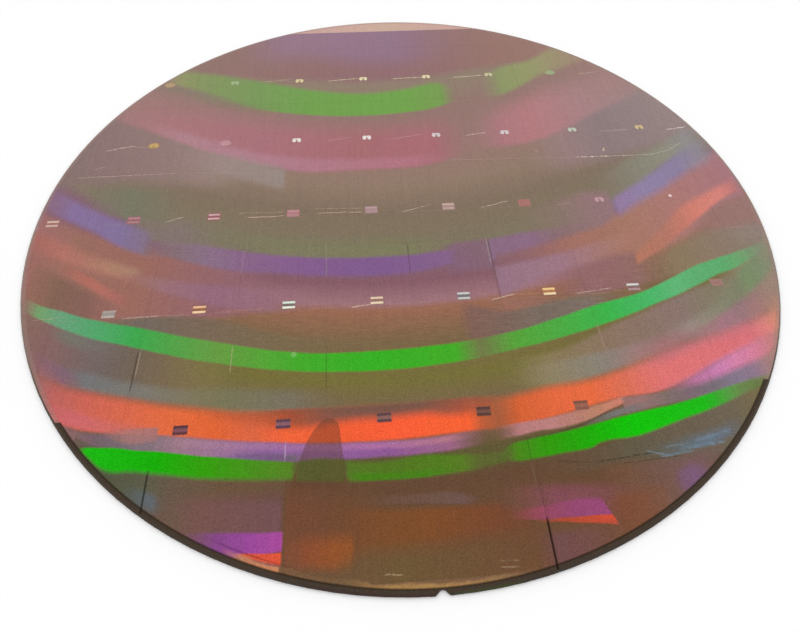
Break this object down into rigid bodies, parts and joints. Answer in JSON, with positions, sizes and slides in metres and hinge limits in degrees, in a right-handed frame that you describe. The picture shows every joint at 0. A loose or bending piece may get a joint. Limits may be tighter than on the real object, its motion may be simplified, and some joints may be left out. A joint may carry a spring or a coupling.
{
  "type": "silicon wafer",
  "caption": "Thin round silicon wafer with a printed grid of fields and mark bars on a glossy rainbow-banded front face, a rounded rim and an alignment notch.",
  "frame": {"origin": "centre of the wafer's plain back face", "axes": "+Z out of the printed front face; the alignment notch is at -Y; the printed rows run along X"},
  "size_m": [0.2, 0.2, 0.0007],
  "materials": {
    "silicon": "polished"
  },
  "bodies": {
    "root": {"wafer": "silicon"}
  },
  "joints": []
}
